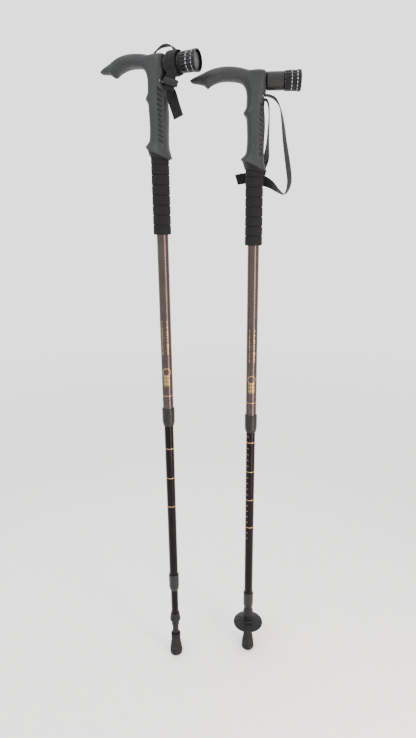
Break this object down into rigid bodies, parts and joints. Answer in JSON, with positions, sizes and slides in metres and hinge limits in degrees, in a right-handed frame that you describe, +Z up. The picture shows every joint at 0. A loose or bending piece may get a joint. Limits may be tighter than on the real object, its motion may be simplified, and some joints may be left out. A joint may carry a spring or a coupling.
{
  "type": "pair of trekking poles",
  "caption": "Pair of telescopic trekking poles with T-handles, foam grips, wrist straps, handle torches, twist locks, rubber feet and a mud basket.",
  "frame": {"origin": "centre of the left pole's rubber foot, on the surface it stands on", "axes": "+Z up along the left pole, +X from the left pole towards the right pole, +Y away from the viewer, towards the wall the poles stand at"},
  "size_m": [0.2609, 0.0732, 0.9368],
  "materials": {
    "foot_rubber": "moulded, dull, dusty at the base",
    "hardened_steel": "bright",
    "black_plastic": "satin",
    "collar_plastic": "satin, fine texture",
    "lock_nylon": "natural nylon",
    "expander_nylon": "satin",
    "black_anodised": "glossy anodised, gold printed rings",
    "bronze_anodised": "glossy bronze anodised, gold printed marks",
    "eva_foam": "closed-cell foam, matt",
    "grip_rubber": "moulded, matt slate grey",
    "torch_metal": "glossy black anodised with bare bands",
    "torch_lens": "clear",
    "torch_reflector": "polished",
    "led_board": "board with a clear lamp",
    "battery_cell": "nickel-plated cells",
    "webbing": "flat woven nylon"
  },
  "bodies": {
    "left_foot": {"left_rubber_foot": "foot_rubber"},
    "left_lower_shaft": {"left_carbide_tip": "hardened_steel", "left_tip_ferrule": "black_plastic", "left_lower_tube": "black_anodised", "left_lower_lock_stud": "lock_nylon"},
    "left_lower_expander": {"left_lower_lock_expander": "expander_nylon"},
    "left_lower_cone": {"left_lower_lock_cone": "lock_nylon"},
    "left_middle_shaft": {"left_middle_tube": "black_anodised", "left_lower_collar": "collar_plastic", "left_shock_plug": "lock_nylon", "left_shock_spring": "hardened_steel"},
    "left_upper_stud": {"left_upper_lock_stud": "lock_nylon"},
    "left_upper_expander": {"left_upper_lock_expander": "expander_nylon"},
    "left_upper_cone": {"left_upper_lock_cone": "lock_nylon"},
    "left_upper_shaft": {"left_upper_tube": "bronze_anodised", "left_upper_collar": "collar_plastic", "left_foam_grip": "eva_foam", "left_handle": "grip_rubber", "left_strap_pin": "hardened_steel", "left_wrist_strap": "webbing", "left_strap_slider": "black_plastic", "left_torch_body": "torch_metal", "left_torch_batteries": "battery_cell"},
    "left_torch_head": {"left_torch_head": "torch_metal", "left_torch_lens": "torch_lens", "left_torch_reflector": "torch_reflector", "left_torch_led_board": "led_board"},
    "right_foot": {"right_rubber_foot": "foot_rubber"},
    "right_lower_shaft": {"right_carbide_tip": "hardened_steel", "right_tip_ferrule": "black_plastic", "right_lower_tube": "black_anodised", "right_lower_lock_stud": "lock_nylon", "right_basket": "black_plastic"},
    "right_lower_expander": {"right_lower_lock_expander": "expander_nylon"},
    "right_lower_cone": {"right_lower_lock_cone": "lock_nylon"},
    "right_middle_shaft": {"right_middle_tube": "black_anodised", "right_lower_collar": "collar_plastic", "right_shock_plug": "lock_nylon", "right_shock_spring": "hardened_steel"},
    "right_upper_stud": {"right_upper_lock_stud": "lock_nylon"},
    "right_upper_expander": {"right_upper_lock_expander": "expander_nylon"},
    "right_upper_cone": {"right_upper_lock_cone": "lock_nylon"},
    "right_upper_shaft": {"right_upper_tube": "bronze_anodised", "right_upper_collar": "collar_plastic", "right_foam_grip": "eva_foam", "right_handle": "grip_rubber", "right_strap_pin": "hardened_steel", "right_wrist_strap": "webbing", "right_strap_slider": "black_plastic", "right_torch_body": "torch_metal", "right_torch_batteries": "battery_cell"},
    "right_torch_head": {"right_torch_head": "torch_metal", "right_torch_lens": "torch_lens", "right_torch_reflector": "torch_reflector", "right_torch_led_board": "led_board"}
  },
  "joints": [
    {"name": "left_foot_pull", "type": "slide", "parent": "left_foot", "child": "left_lower_shaft", "axis": [0, 0, 1], "range_m": [0, 0.045]},
    {"name": "left_lower_twist", "type": "hinge", "parent": "left_lower_shaft", "child": "left_lower_expander", "pos_m": [0, 0, 0.4283], "axis": [0, 0, -1], "range_deg": [0, 90]},
    {"name": "left_lower_cone_travel", "type": "slide", "parent": "left_lower_expander", "child": "left_lower_cone", "axis": [0, 0, -1], "range_m": [0, 0.00105]},
    {"name": "left_lower_length", "type": "slide", "parent": "left_lower_expander", "child": "left_middle_shaft", "axis": [0, 0, 1], "range_m": [-0.0457, 0.219]},
    {"name": "left_shock", "type": "slide", "parent": "left_middle_shaft", "child": "left_upper_stud", "axis": [0, 0, 1], "range_m": [-0.01, 0], "stiffness_N_per_m": 10000, "springref_m": 0.003, "deforming": ["left_shock_spring"]},
    {"name": "left_upper_twist", "type": "hinge", "parent": "left_upper_stud", "child": "left_upper_expander", "pos_m": [0, 0, 0.5958], "axis": [0, 0, -1], "range_deg": [0, 90]},
    {"name": "left_upper_cone_travel", "type": "slide", "parent": "left_upper_expander", "child": "left_upper_cone", "axis": [0, 0, -1], "range_m": [0, 0.00105]},
    {"name": "left_upper_length", "type": "slide", "parent": "left_upper_expander", "child": "left_upper_shaft", "axis": [0, 0, 1], "range_m": [-0.253, 0.096]},
    {"name": "left_torch_twist", "type": "hinge", "parent": "left_upper_shaft", "child": "left_torch_head", "pos_m": [0.03709, -0.01498, 0.9123], "axis": [0.9272, -0.3746, 0], "range_deg": [0, 90]},
    {"name": "right_foot_pull", "type": "slide", "parent": "right_foot", "child": "right_lower_shaft", "axis": [0, 0, 1], "range_m": [0, 0.045]},
    {"name": "right_lower_twist", "type": "hinge", "parent": "right_lower_shaft", "child": "right_lower_expander", "pos_m": [0.125, 0.015, 0.4283], "axis": [0, 0, -1], "range_deg": [0, 90]},
    {"name": "right_lower_cone_travel", "type": "slide", "parent": "right_lower_expander", "child": "right_lower_cone", "axis": [0, 0, -1], "range_m": [0, 0.00105]},
    {"name": "right_lower_length", "type": "slide", "parent": "right_lower_expander", "child": "right_middle_shaft", "axis": [0, 0, 1], "range_m": [0, 0.265]},
    {"name": "right_shock", "type": "slide", "parent": "right_middle_shaft", "child": "right_upper_stud", "axis": [0, 0, 1], "range_m": [-0.01, 0], "stiffness_N_per_m": 10000, "springref_m": 0.003, "deforming": ["right_shock_spring"]},
    {"name": "right_upper_twist", "type": "hinge", "parent": "right_upper_stud", "child": "right_upper_expander", "pos_m": [0.125, 0.015, 0.5501], "axis": [0, 0, -1], "range_deg": [0, 90]},
    {"name": "right_upper_cone_travel", "type": "slide", "parent": "right_upper_expander", "child": "right_upper_cone", "axis": [0, 0, -1], "range_m": [0, 0.00105]},
    {"name": "right_upper_length", "type": "slide", "parent": "right_upper_expander", "child": "right_upper_shaft", "axis": [0, 0, 1], "range_m": [-0.282, 0.066]},
    {"name": "right_torch_twist", "type": "hinge", "parent": "right_upper_shaft", "child": "right_torch_head", "pos_m": [0.165, 0.015, 0.8963], "axis": [1, 0, 0], "range_deg": [0, 90]},
    {"name": "right_pole_apart", "type": "slide", "parent": "left_foot", "child": "right_foot", "axis": [1, 0, 0], "range_m": [0, 0.15]}
  ],
  "couplings": [
    {"joint": "left_lower_cone_travel", "follows": "left_lower_twist", "m_per_rad": 0.00063662},
    {"joint": "left_upper_cone_travel", "follows": "left_upper_twist", "m_per_rad": 0.00063662},
    {"joint": "right_lower_cone_travel", "follows": "right_lower_twist", "m_per_rad": 0.00063662},
    {"joint": "right_upper_cone_travel", "follows": "right_upper_twist", "m_per_rad": 0.00063662}
  ]
}
